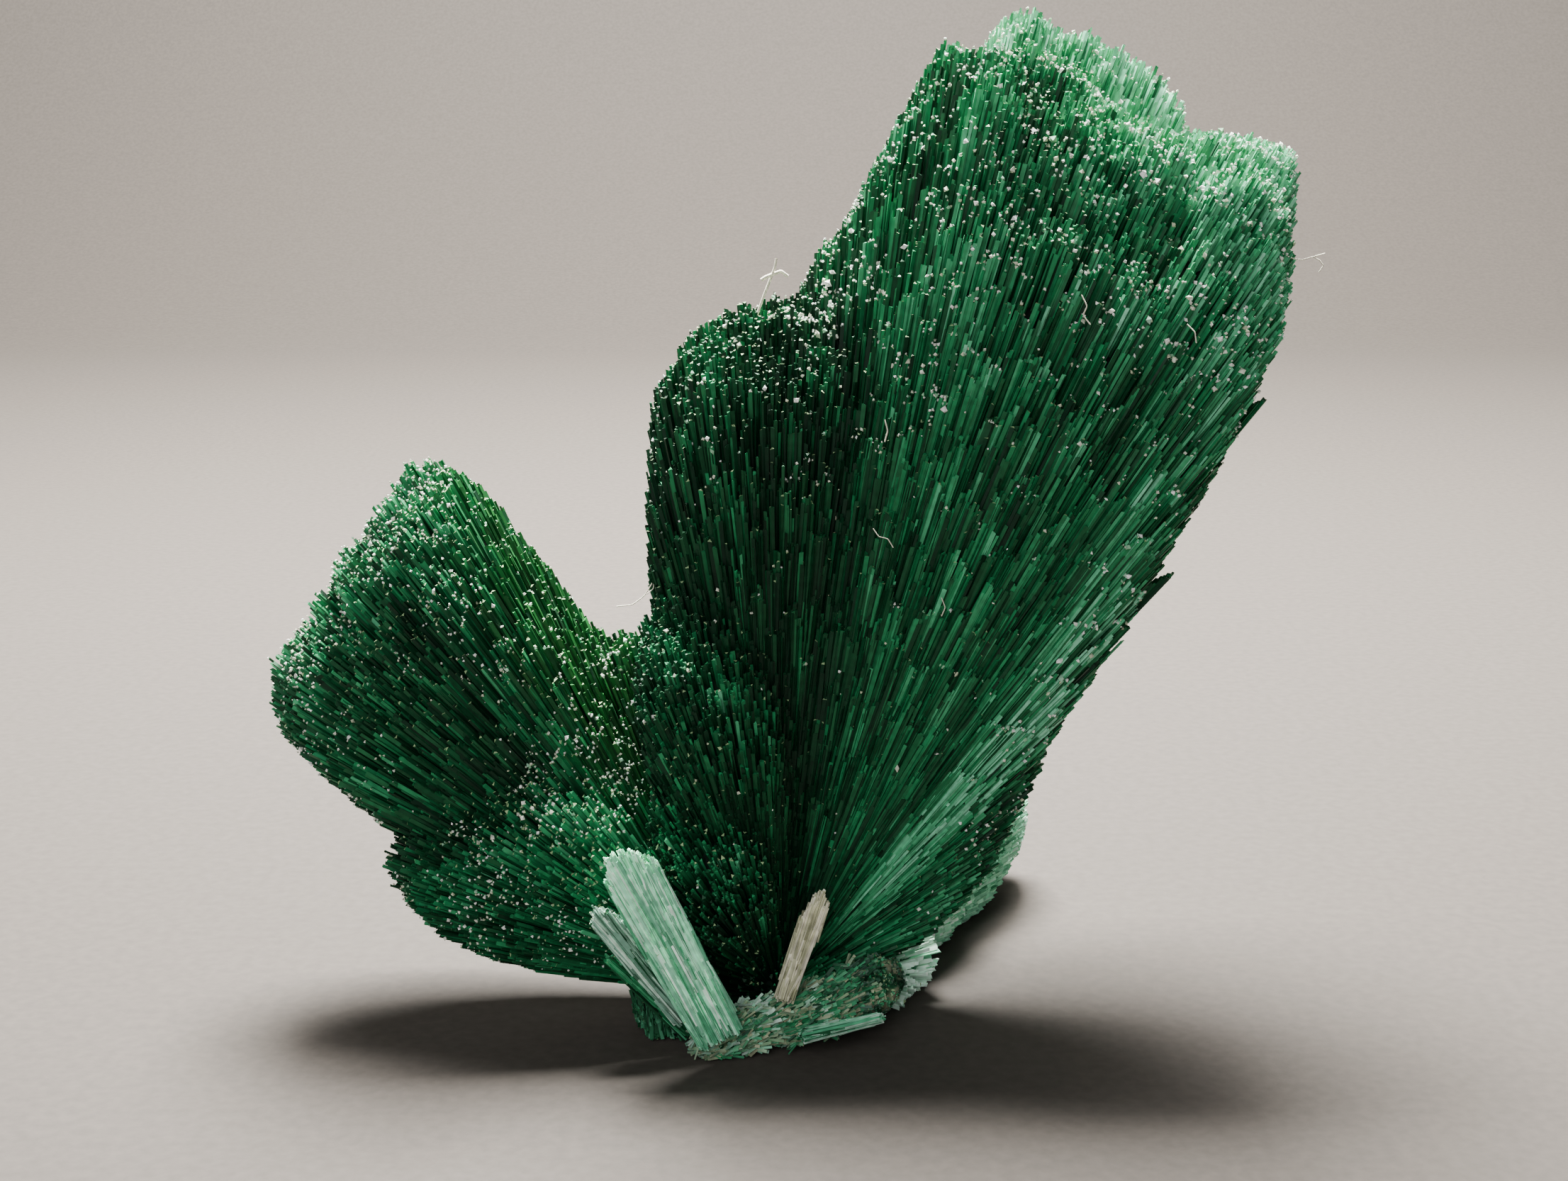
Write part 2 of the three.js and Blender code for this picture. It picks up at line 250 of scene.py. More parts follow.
def needle_arrays(feet, tips, widths, rng):
    """Corners and faces of three-sided needles with blunt ends. Nine corners each: foot, top and end."""
    count = len(feet)
    along = unit(tips - feet)
    side = unit(np.cross(along, rng.normal(size=(count, 3))))
    other = np.cross(along, side)
    radius = (widths * 0.64)[:, None]
    slant = rng.uniform(0.0, 0.7, size=(count, 3)) * widths[:, None]
    corners = np.empty((count, 9, 3))
    for k in range(3):
        turn = 2 * math.pi * k / 3
        edge = (side * math.cos(turn) + other * math.sin(turn)) * radius
        corners[:, k] = feet + edge * 0.75
        corners[:, k + 3] = tips + edge - along * slant[:, k : k + 1]
    corners[:, 6:] = corners[:, 3:6]
    faces = (np.arange(count) * 9)[:, None, None] + NEEDLE_FACES[None]
    return corners.reshape(-1, 3), faces.reshape(-1, 3)


def needle_objects(
    name, feet, tips, widths, foot_tint, tip_tint, material, seed, flecks=0.3, most=24000
):
    """The needles as a few objects, none of them too heavy, with tints from foot to tip. The darker foot
    tints that callers give are painted shade deep between the needles.
    """
    flecks = np.broadcast_to(flecks, len(feet))
    rng = np.random.default_rng(seed)
    order = np.argsort(feet[:, 0] + 0.3 * feet[:, 2])
    pieces = []
    parts = max(1, math.ceil(len(feet) / most))
    for k, pick in enumerate(np.array_split(order, parts)):
        corners, faces = needle_arrays(feet[pick], tips[pick], widths[pick], rng)
        end_tint = mixed(tip_tint[pick] * 1.4, FLECK, rng.random(len(pick)) < flecks[pick])
        tint = np.stack([foot_tint[pick], tip_tint[pick], end_tint], 1).repeat(3, axis=1)
        label = f"{name}_{k + 1}" if parts > 1 else name
        pieces.append(object_from(label, corners, faces, tint.reshape(-1, 3), material))
    return pieces


def above_floor(*ends):
    """Keeps the ends of needles off the floor."""
    for places in ends:
        places[:, 2] = np.maximum(places[:, 2], FLOOR_GAP)


def facing_share(normals, away):
    """How squarely a surface faces away from the root: 1 at the needles' ends, 0 along them."""
    return np.clip(np.einsum("ij,ij->i", normals, away), 0, 1)


def scatter(corners, triangles, root, ends, sides, rng):
    """Random needles on a spray's surface: their places, the normals and the triangles there."""
    a, b, c = (corners[triangles[:, k]] for k in range(3))
    cross = np.cross(b - a, c - a)
    area = np.linalg.norm(cross, axis=1) / 2
    reach = (a + b + c) / 3 - root
    facing = facing_share(unit(cross), unit(reach))
    near = np.clip(np.linalg.norm(reach, axis=1) / SPARSE_REACH, SPARSE_SHARE, 1)
    density = (ends * facing + sides * (1 - facing)) * near
    count = int((area * density).sum())
    return sample(corners, triangles, density, count, rng)


def end_offsets(spread, warped, facing, seed, rng):
    """How far past the surface each needle ends. Bundles end together, in steps of two sizes."""
    offset = 0.2 * waves(spread, 5.0, seed) * facing
    offset += 0.17 * steps(warped, 0.7, seed)
    offset += 0.13 * steps(warped, 0.27, seed + 2)
    return offset + np.clip(rng.normal(-0.03, 0.12, len(facing)), -0.35, 0.22)


def side_bundles(warped, distance, facing, seed, rng):
    """Which needles break off down the sides, a number for each bundle, and how far back it ends."""
    cell = np.floor(warped / BUNDLE_WIDTH)
    phase = hashed(cell[:, 0], cell[:, 1], cell[:, 2] + seed)
    station = np.floor(distance / BUNDLE_LENGTH - phase)
    chance = 0.85 * fall(facing, 0.55, 0.25) * rise(distance, 4, 8, least=0.15)
    broken = rng.random(len(facing)) < chance * (station > 0)
    bundle = hashed(cell[:, 0] + 57 * station, cell[:, 1], cell[:, 2] + seed)
    back = distance - (station + phase) * BUNDLE_LENGTH
    return broken, bundle, back


def grow_needles(arrays, root, seed, ends=ENDS_PER_MM2, sides=SIDES_PER_MM2, ragged=1.0):
    """The needles of one spray, grown from its root out to its surface."""
    rng = np.random.default_rng(seed)
    corners, triangles = arrays
    places, normals, chosen = scatter(corners, triangles, root, ends, sides, rng)
    count = len(places)
    hollow = hollows(corners, triangles)[triangles[chosen]].mean(axis=1)
    away = unit(places - root)
    facing = facing_share(normals, away)
    side = 1 - facing
    distance = np.linalg.norm(places - root, axis=1)
    # Needles that leave the root in nearly the same direction belong to one bundle
    spread = away * 14
    warped = spread + 0.25 * np.stack([waves(spread, 2.5, seed + k) for k in (1, 2, 3)], 1)
    offset = end_offsets(spread, warped, facing, seed, rng) * ragged
    broken, bundle, back = side_bundles(warped, distance, facing, seed, rng)
    offset = np.where(broken, 0.13 * rng.normal(size=count) - back, offset)
    # On a side the needle is long and lies just proud of it, and at an end it stands up
    lengths = 1.0 + 2.4 * side**1.5 * rng.uniform(0.5, 1.25, count)
    lengths = np.minimum(lengths, (distance + offset) * 0.85)
    lift = 0.04 * rng.random(count) + np.where(broken, 0.11 * bundle - 0.02, 0)
    bend = unit(away + rng.normal(0, 0.015, (count, 3)))
    tips = places + away * offset[:, None] + normals * (lift * side)[:, None]
    feet = tips - bend * lengths[:, None] - normals * (0.04 * lengths * side)[:, None]
    above_floor(tips, feet)
    angle = np.degrees(np.arctan2(away[:, 0], away[:, 2]))
    return SimpleNamespace(
        rng=rng, count=count, feet=feet, tips=tips, facing=facing, normals=normals,
        away=away, distance=distance, spread=spread, warped=warped, angle=angle, hollow=hollow,
        bundle=bundle, broken=broken,
    )


def outside(n, notches):
    """The needles that keep clear of some round notches."""
    keep = np.full(n.count, True)
    along = n.tips - n.feet
    for centre, radius in notches:
        gap = np.array(centre) - n.feet
        share = np.einsum("ij,ij->i", gap, along) / np.einsum("ij,ij->i", along, along)
        nearest = along * np.clip(share, 0, 1)[:, None]
        keep &= np.linalg.norm(gap - nearest, axis=1) > radius
    kept = {k: v[keep] for k, v in vars(n).items() if isinstance(v, np.ndarray)}
    return SimpleNamespace(rng=n.rng, count=int(keep.sum()), **kept)


# Colours, in linear light

INK = np.array([0.001, 0.009, 0.005])
DEEP = np.array([0.002, 0.027, 0.011])
GREEN = np.array([0.006, 0.085, 0.03])
BRIGHT = np.array([0.018, 0.25, 0.09])
LIT = np.array([0.09, 0.45, 0.23])
MINT = np.array([0.27, 0.66, 0.44])
GRASS = np.array([0.02, 0.18, 0.032])
CREAM = np.array([0.8, 0.77, 0.62])
FLECK = np.array([0.38, 0.55, 0.28])
TAN = np.array([0.42, 0.43, 0.28])
GREY = np.array([0.16, 0.3, 0.23])
SILVER = np.array([0.6, 0.8, 0.68])


def mixed(a, b, share):
    """Colours between two, by a share for each row."""
    return a + (b - a) * np.clip(share, 0, 1)[:, None]


def ramp(stops, share):
    """Colours along several stops at even distances."""
    share = np.clip(share, 0, 1) * (len(stops) - 1)
    low = np.minimum(share.astype(int), len(stops) - 2)
    table = np.array(stops)
    return table[low] + (table[low + 1] - table[low]) * (share - low)[:, None]


# Materials


def shader(name, roughness, specular=0.3):
    """A new node material, with its node tree and its main shader."""
    material = bpy.data.materials.new(name)
    material.use_nodes = True
    tree = material.node_tree
    main = tree.nodes["Principled BSDF"]
    main.inputs["Roughness"].default_value = roughness
    main.inputs["Specular IOR Level"].default_value = specular
    return material, tree, main


def noise_node(tree, scale, detail):
    """Noise in the row's frame, with a scale per metre."""
    place = tree.nodes.new("ShaderNodeTexCoord")
    noise = tree.nodes.new("ShaderNodeTexNoise")
    noise.inputs["Scale"].default_value = scale
    noise.inputs["Detail"].default_value = detail
    tree.links.new(place.outputs["Object"], noise.inputs["Vector"])
    return noise


def needle_material(name, roughness, specular):
    """Silky crystal whose colour comes from the needles' own tints, with fine variation."""
    material, tree, main = shader(name, roughness, specular)
    tint = tree.nodes.new("ShaderNodeAttribute")
    tint.attribute_name = "Tint"
    noise = noise_node(tree, scale=5200, detail=0.0)
    spread = tree.nodes.new("ShaderNodeMapRange")
    spread.inputs["From Min"].default_value = 0.3
    spread.inputs["From Max"].default_value = 0.7
    spread.inputs["To Min"].default_value = 0.85
    spread.inputs["To Max"].default_value = 1.15
    multiply = tree.nodes.new("ShaderNodeVectorMath")
    multiply.operation = "SCALE"
    tree.links.new(noise.outputs["Fac"], spread.inputs["Value"])
    tree.links.new(tint.outputs["Color"], multiply.inputs[0])
    tree.links.new(spread.outputs["Result"], multiply.inputs["Scale"])
    tree.links.new(multiply.outputs["Vector"], main.inputs["Base Color"])
    return material


def mottled_material(name, stops, scale, roughness, bump=0.5, distance=0.0001):
    """Rough stone whose colour runs along stops with noise."""
    material, tree, main = shader(name, roughness)
    noise = noise_node(tree, scale, detail=6.0)
    colours = tree.nodes.new("ShaderNodeValToRGB")
    elements = colours.color_ramp.elements
    while len(elements) < len(stops):
        elements.new(0.5)
    for k, (element, colour) in enumerate(zip(elements, stops)):
        element.position = 0.32 + 0.36 * k / (len(stops) - 1)
        element.color = (*colour, 1)
    tree.links.new(noise.outputs["Fac"], colours.inputs["Fac"])
    tree.links.new(colours.outputs["Color"], main.inputs["Base Color"])
    relief = tree.nodes.new("ShaderNodeBump")
    relief.inputs["Strength"].default_value = bump
    relief.inputs["Distance"].default_value = distance
    tree.links.new(noise.outputs["Fac"], relief.inputs["Height"])
    tree.links.new(relief.outputs["Normal"], main.inputs["Normal"])
    return material


silky = needle_material("silky_needles", roughness=0.5, specular=0.2)
chalky = needle_material("chalky_needles", roughness=0.65, specular=0.25)
core_green = mottled_material("core_green", [INK * 0.6, INK, DEEP], scale=900, roughness=0.8)
core_pale = mottled_material(
    "core_pale", [BRIGHT * 0.5, LIT * 0.5, LIT], scale=900, roughness=0.8
)
core_root = mottled_material(
    "core_root", [DEEP, GREEN, TAN * 0.6, LIT * 0.7], scale=1500, roughness=0.75
)


def dress(node, core, needles):
    """The core and the needles stand for a CAD node."""
    for obj in (core, *needles):
        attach(obj, "root")
        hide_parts(node)


def painted_shade_and_bundles(n):
    """Painted light and shade: lighter needle ends on the ridges and on top, painted shade on the ones in
    the hollows and below, plus a random tone for each bundle.
    """
    # Painted light on the tops and ridges, painted shade in the hollows and below
    relief = 0.12 * n.normals[:, 2] - 0.75 * np.clip(n.hollow, -0.25, 0.45)
    # A random tone for each bundle down the sides
    bundles = 0.15 * (n.bundle - 0.5) * (n.facing < 0.6)
    return relief + bundles


# Gaps in the right edge of the tall spray, just above its teeth: centre and radius
NOTCHES = [((15.6, 4.1, 18.8), 0.36), ((12.85, 4.1, 13.85), 0.42), ((14.0, 3.0, 16.2), 0.2)]


def main_tone(n, noise):
    """How light each needle of the tall spray is, with painted sheen, painted light and painted shade."""
    side = 1 - n.facing
    # Painted sheen: bright silky streaks painted along the right flank, with a thin painted highlight
    # line
    streak = 0.5 + 0.5 * waves(n.away * 210, 5, 23)
    painted_sheen = bell(n.angle, SHEEN_ANGLE, 4) + 0.6 * bell(n.angle, SIDE_SHEEN_ANGLE, 2.2)
    painted_sheen *= np.clip(1.7 * streak + 0.3 * noise, 0, 1.4) * bell(n.distance, 11.5, 7.5) * (side > 0.3)
    # A thin painted highlight line along the flank
    painted_highlight_line = bell(n.angle, HIGHLIGHT_LINE_ANGLE, 0.35) * (n.distance < 15) * (side > 0.5)
    # The right end and the top of the rear lobe are mint: partly their paler colour, partly painted light
    # where the key light falls on the top
    mint_and_painted_light_end = rise(n.angle, 16, 18) * rise(n.distance, 20, 5)
    mint_and_painted_light_rear = rise(n.tips[:, 1], 8.5, 1.5) * rise(n.tips[:, 2], 24, 2)
    # Painted shade darkens the left column, and painted light makes its lower lobes lighter on top
    painted_column_shade = fall(n.angle, COLUMN_ANGLE, 3)
    painted_lobe_top_light = painted_column_shade * (n.facing > 0.6) * (n.normals[:, 2] > 0.2) * (n.distance < 14)
    tone = 0.25 + 0.08 * waves(n.spread, 4, 21) + 0.1 * steps(n.warped, 0.35, 22) + 0.15 * noise
    tone += 0.5 * painted_sheen + 0.5 * painted_highlight_line + 0.3 * mint_and_painted_light_end + 0.28 * mint_and_painted_light_rear
    return tone + painted_shade_and_bundles(n) - 0.31 * painted_column_shade + 0.12 * painted_lobe_top_light


def main_spray():
    """The tall spray: five lobes of needles on one core."""
    core = soft_copy("main_spray", voxel=0.4, rounds=2)
    core.data.materials.append(core_green)
    n = outside(grow_needles(mesh_arrays(core), MAIN_ROOT, seed=11), NOTCHES)
    sink(core, CORE_SINK)
    noise = n.rng.normal(0, 1, n.count)
    tone = main_tone(n, noise)
    tip_tint = ramp([DEEP, GREEN, BRIGHT, LIT, MINT], tone)
    # Darker feet: painted shade deep between the needles
    foot_tint = ramp([INK, DEEP, GREEN, BRIGHT, LIT * 1.2], tone)
    flecks = 0.1 + 0.4 * rise(n.distance, 14, 8) * fall(n.angle, 36, 14)
    # The right flank is split into finer needles
    flank = rise(n.angle, FLANK_ANGLE, 10) * (1 - n.facing)
    widths = NEEDLE_WIDTH * n.rng.uniform(0.55, 1.2, n.count) * (1 - 0.3 * flank)
    needles = needle_objects(
        "main_needles", n.feet, n.tips, widths, foot_tint, tip_tint, silky, seed=12, flecks=flecks
    )
    dress("main_spray", core, needles)
    return n


def left_spray():
    """The lower spray on the left, with its dusty dome in front."""
    core = soft_copy("left_spray", voxel=0.38, rounds=2)
    core.data.materials.append(core_green)
    n = grow_needles(mesh_arrays(core), LEFT_ROOT, seed=31)
    sink(core, CORE_SINK)
    noise = n.rng.normal(0, 1, n.count)
    tone = 0.185 + 0.08 * waves(n.spread, 4, 41) + 0.09 * steps(n.warped, 0.35, 42) + 0.13 * noise
    # The right side of the pyramid is grass green, and painted shade darkens its left side
    grass = rise(n.angle, -33, 7) * rise(n.distance, 6, 4)
    painted_left_shade = np.clip(-n.normals[:, 0], 0, 1)
    tone += painted_shade_and_bundles(n) - 0.3 * grass - 0.16 * painted_left_shade
    tip_tint = ramp([DEEP, GREEN, BRIGHT, LIT, MINT], tone)
    tip_tint = mixed(tip_tint, GRASS, 0.75 * grass * n.rng.random(n.count))
    # Darker feet: painted shade deep between the needles
    foot_tint = ramp([INK, DEEP * 1.3, GREEN, BRIGHT, LIT], tone)
    flecks = 0.15 + 0.5 * bell(n.angle, -34, 14) * rise(n.normals[:, 2], -0.3, 0.6)
    widths = NEEDLE_WIDTH * n.rng.uniform(0.6, 1.2, n.count)
    needles = needle_objects(
        "left_needles", n.feet, n.tips, widths, foot_tint, tip_tint, silky, seed=32, flecks=flecks
    )
    dress("left_spray", core, needles)
    return n


def rear_spray():
    """The pale crust that lies on the floor behind the root."""
    core = soft_copy("rear_spray", voxel=0.25, rounds=5)
    core.data.materials.append(core_pale)
    n = grow_needles(mesh_arrays(core), REAR_ROOT, seed=51, ends=62, sides=34, ragged=0.6)
    sink(core, REAR_CORE_SINK)
    tone = 0.45 + 0.15 * waves(n.spread, 4, 61) + n.rng.normal(0, 0.17, n.count) + painted_shade_and_bundles(n)
    # Painted light and shade: the crust is painted palest in front next to the root, where it lies in
    # shadow, and painted darker and greener on its back, which faces the key light
    behind = np.clip(n.normals[:, 1] + 0.35, 0, 1)
    tone += 0.45 * fall(n.distance, 6, 3) * (1 - behind) - 0.45 * behind
    tip_tint = ramp([BRIGHT, LIT, MINT, MINT * 1.4, SILVER * 1.4], tone + 0.16)
    # Darker feet: painted shade deep between the needles
    foot_tint = ramp([GREEN, BRIGHT, LIT, MINT, SILVER * 1.1], tone + 0.1)
    widths = NEEDLE_WIDTH * n.rng.uniform(0.7, 1.4, n.count)
    needles = needle_objects("rear_needles", n.feet, n.tips, widths, foot_tint, tip_tint, chalky, seed=52)
    dress("rear_spray", core, needles)


# Broken splinters: base, tip, widths at both, depth, and each strip's share of the length
SPLINTERS = {
    "pale_splinter": dict(
        base=(0.05, -0.7, 1.1), tip=(-2.6, -0.5, 6.35), width=(1.35, 1.6), depth=0.5,
        reach=(0.92, 1, 0.99, 0.975, 0.95, 0.89), stops=(LIT, MINT, MINT * 1.7, SILVER * 1.4),
        needles=2300, seed=71, slot="pale_needles",
    ),
    "grey_splinter": dict(
        base=(-0.95, 0.2, 1.25), tip=(-3.25, 0, 4.5), width=(0.7, 0.95), depth=0.4,
        reach=(0.97, 1.02, 0.95, 0.84), stops=(GREEN, GREY, GREY * 1.8, SILVER),
        needles=900, seed=72, slot="pale_needles",
    ),
    "dark_splinter": dict(
        base=(-0.8, 0.75, 0.5), tip=(-2.95, 0.55, 2.95), width=(0.5, 0.7), depth=0.35,
        reach=(1, 0.94, 0.82), stops=(DEEP, GREEN, BRIGHT, LIT),
        needles=600, seed=73, slot="green_needles",
    ),
    "tan_splinter": dict(
        base=(2, 0.2, 1.8), tip=(2.98, 0.75, 4.75), width=(0.42, 0.75), depth=0.35,
        reach=(0.76, 0.94, 1, 0.9), stops=(TAN * 0.6, TAN * 1.3, CREAM * 0.9, CREAM * 1.1),
        needles=600, seed=74, slot="tan_needles",
    ),
    "right_splinter": dict(
        base=(2.6, -0.4, 0.85), tip=(4.8, 0.2, 1.1), width=(0.4, 0.5), depth=0.3,
        reach=(0.9, 1, 0.94), stops=(GREEN, LIT, MINT, SILVER),
        needles=450, seed=75, slot="pale_needles",
    ),
}


def splinter_shares(reach, count, length, rng):
    """Where a splinter's needles lie across and through it, and where they end and start along it."""
    u = rng.uniform(-0.5, 0.5, count)
    v = np.sign(rng.normal(size=count)) * rng.uniform(0.25, 0.5, count)
    v = np.where(rng.random(count) < 0.3, rng.uniform(-0.62, 0.62, count), v)
    far = np.interp((u + 0.5) * len(reach) - 0.5, range(len(reach)), reach)
    far = far + 0.035 - 0.045 * rng.random(count) - 0.1 * hashed(np.floor(u * 18), np.floor(v * 3))
    top = far * np.where(rng.random(count) < 0.45, 1, rng.uniform(0.15, 1, count))
    low = np.maximum(top - rng.uniform(0.9, 2.6, count) / length, -0.04)
    return u, v, top, low


def splinter_needles(base, tip, width, depth, reach, count, rng):
    """Tips and feet of a splinter's needles, and their shares across, through and along it."""
    base = np.array(base, float)
    along = np.array(tip, float) - base
    length = np.linalg.norm(along)
    axis = along / length
    across = np.array([1, 0.1, 0.25])
    across = unit(across - axis * (across @ axis))
    out = np.cross(across, axis)
    u, v, top, low = splinter_shares(reach, count, length, rng)
    deep = depth * v * (1 - 0.4 * top)
    ends = []
    for share, shrink in ((top, 1.0), (low, 0.93)):
        wide = (width[0] + (width[1] - width[0]) * share) * u * shrink
        place = base + np.outer(share, along) + np.outer(wide, across)
        ends.append(place + np.outer(deep * shrink, out))
    return *ends, u, v, top


def splinter(node, base, tip, width, depth, reach, stops, needles, seed, slot):
    """A broken strip of fine needles with a ragged end."""
    rng = np.random.default_rng(seed)
    tips, feet, u, v, top = splinter_needles(base, tip, width, depth, reach, needles, rng)
    streak = hashed(np.floor(u * 30 + 0.4 * np.sin(top * 9)), np.sign(v))
    tone = 0.52 + 0.85 * (streak - 0.5) + rng.normal(0, 0.25, needles) + 0.2 * (top - 0.55)
    tint = ramp(stops, tone)
    widths = rng.uniform(0.04, 0.09, needles)
    feet += rng.normal(0, 0.05, (needles, 3))
    # Darker feet: painted shade deep between the needles
    pieces = needle_objects(
        node + "_needles", feet, tips, widths, tint * 0.85, tint * 1.1, chalky, seed
    )
    core = soft_copy(node, voxel=0.07, rounds=2)
    sink(core, 0.09)
    tints = [stops[0] * 0.6, stops[1]]
    core.data.materials.append(mottled_material(node + "_core", tints, scale=3000, roughness=0.7))
    dress(node, core, pieces)


def root_crust():
    """The broken root: rough mottled stone with short needles bedded in it."""
    rng = np.random.default_rng(81)
    core = soft_copy("root_crust", voxel=0.09, rounds=2)
    corners, triangles = mesh_arrays(core)
    bumps = 0.1 * waves(corners, 0.9, 82) + 0.06 * waves(corners, 0.35, 83)
    lift = np.empty(len(corners) * 3)
    core.data.vertex_normals.foreach_get("vector", lift)
    moved = corners + lift.reshape(-1, 3) * (bumps - 0.06)[:, None]
    moved[:, 2] = np.maximum(moved[:, 2], 0)
    core.data.vertices.foreach_set("co", from_foot(moved).ravel())
    core.data.update()
    core.data.materials.append(core_root)
    count = 4200
    places, normals, _ = sample(moved, triangles, np.ones(len(triangles)), count, rng)
    grain = unit(np.array([0.9, 0.3, 0.32]) + rng.normal(0, 0.17, (count, 3)))
    grain = unit(grain - 0.75 * normals * np.einsum("ij,ij->i", grain, normals)[:, None])
    reach = rng.uniform(0.15, 1.0, count) * np.clip(5.0 - places[:, 0], 0.1, 1)
    reach = reach[:, None]
    feet = places - grain * reach / 2 - normals * 0.05
    tips = places + grain * reach / 2 + normals * 0.03
    above_floor(feet, tips)
    tone = 0.86 + 0.25 * waves(places, 0.9, 84) + rng.normal(0, 0.12, count)
    tone -= 0.09 * places[:, 0] + 0.1 * (places[:, 2] > 1.3)
    tint = ramp([DEEP, GREEN, GREY * 0.6, BRIGHT, LIT, TAN * 1.2, MINT, SILVER], tone)
    widths = rng.uniform(0.05, 0.1, count)
    # Darker feet: painted shade deep between the needles
    needles = needle_objects("root_needles", feet, tips, widths, tint * 0.6, tint, chalky, seed=85)
    dress("root_crust", core, needles)


def left_foot():
    """Teal chips that reach the floor under the left spray."""
    rng = np.random.default_rng(91)
    core = soft_copy("left_foot", voxel=0.07, rounds=2)
    core.data.materials.append(core_green)
    corners, triangles = mesh_arrays(core)
    count = 700
    places, normals, _ = sample(corners, triangles, np.ones(len(triangles)), count, rng)
    grain = unit(np.array([0.25, -0.6, -0.9]) + rng.normal(0, 0.15, (count, 3)))
    reach = rng.uniform(0.2, 0.7, count)[:, None]
    feet, tips = places - grain * reach / 2, places + grain * reach / 2 + normals * 0.03
    above_floor(feet, tips)
    tint = ramp([DEEP, GREEN, LIT * 0.6, MINT * 0.7], 0.4 + rng.normal(0, 0.2, count))
    widths = rng.uniform(0.05, 0.1, count)
    # Darker feet: painted shade deep between the needles
    needles = needle_objects("left_foot_needles", feet, tips, widths, tint * 0.6, tint, chalky, seed=92)
    sink(core, 0.04)
    dress("left_foot", core, needles)


# The corners and faces of one grain of dust, before its shape is changed
GRAIN_CORNERS = np.array(
    [[1, 0, 0], [-1, 0, 0], [0, 1, 0], [0, -1, 0], [0, 0, 1], [0, 0, -1]], float
)
GRAIN_FACES = np.array(
    [[0, 2, 4], [2, 1, 4], [1, 3, 4], [3, 0, 4], [2, 0, 5], [1, 2, 5], [3, 1, 5], [0, 3, 5]]
)


def spots(n, places):
    """Weights that gather round some places: each a centre, a radius and a strength."""
    total = np.zeros(n.count)
    for centre, radius, strength in places:
        total += strength * bell(np.linalg.norm(n.tips - centre, axis=1), 0, radius)
    return total


def dust(name, spray, weights, count, fineness, seed):
    """Pale grains caught on the ends of a spray's needles."""
    rng = np.random.default_rng(seed)
    clumps = 0.35 + waves(spray.tips, 2.2, seed) + 0.5 * waves(spray.tips, 0.8, seed + 1)
    behind = np.clip(1.6 * spray.normals[:, 1], 0, 1)
    share = weights * np.clip(clumps, 0.03, 1.5) * (1 - 0.9 * behind)
    chosen = rng.choice(spray.count, size=count, replace=False, p=share / share.sum())
    places = spray.tips[chosen] + spray.normals[chosen] * 0.02
    size = rng.uniform(*GRAIN_SIZES, count) * np.where(rng.random(count) < 0.12, 1.6, 1) * fineness
    shape = GRAIN_CORNERS[None] * rng.uniform(0.55, 1.5, (count, 6, 1)) * size[:, None, None]
    twist = unit(rng.normal(size=(count, 3)))
    side = unit(np.cross(twist, rng.normal(size=(count, 3))))
    basis = np.stack([twist, side, np.cross(twist, side)], 2)
    corners = np.einsum("nij,nkj->nki", basis, shape) + places[:, None]
    faces = (np.arange(count) * 6)[:, None, None] + GRAIN_FACES[None]
    tint = mixed(np.array([0.6, 0.66, 0.45]), np.ones(3), rng.random(count))
    tint = mixed(tint, LIT, (rng.random(count) < 0.15) * 0.7)
    grains = object_from(
        name, corners.reshape(-1, 3), faces.reshape(-1, 3), np.repeat(tint, 6, axis=0), chalky
    )
    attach(grains, "root")


# Bundles at the right edge: where each leaves the edge, its width and how far out it reaches
SHARDS = [
    ((15.1, 4.0, 17.6), 0.35, 0.9),
    ((12.5, 4.0, 12.4), 0.45, 1.15),
    ((13.6, 2.9, 15.6), 0.3, 0.4),
    ((11.6, 3.3, 11.5), 0.4, 0.45),
]


def shards():
    """Bundles that stick out of the right edge of the tall spray."""
    rng = np.random.default_rng(121)
    count = 90
    feet, tips, tints = [], [], []
    for end, width, out in SHARDS:
        end = np.array(end, float)
        along = unit(end - MAIN_ROOT)
        across = unit(np.cross(along, [0, 1, 0]))
        u = rng.random(count)
        depth = rng.uniform(-0.15, 0.15, count)
        start = end + np.outer(u * width, across) + np.outer(depth, [0, 1, 0])
        tip = start + np.outer(out * (0.85 * (1 - u) + 0.15 * rng.random(count)), along)
        tips.append(tip)
        feet.append(tip - np.outer(rng.uniform(1.5, 3, count), along))
        tints.append(ramp([DEEP, GREEN, BRIGHT], 0.5 + rng.normal(0, 0.22, count)))
    feet, tips, tints = np.concatenate(feet), np.concatenate(tips), np.concatenate(tints)
    widths = NEEDLE_WIDTH * rng.uniform(0.6, 1.0, len(tips))
    # Darker feet: painted shade deep between the needles
    for obj in needle_objects("edge_shards", feet, tips, widths, tints * 0.7, tints, silky, seed=122):
        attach(obj, "root")


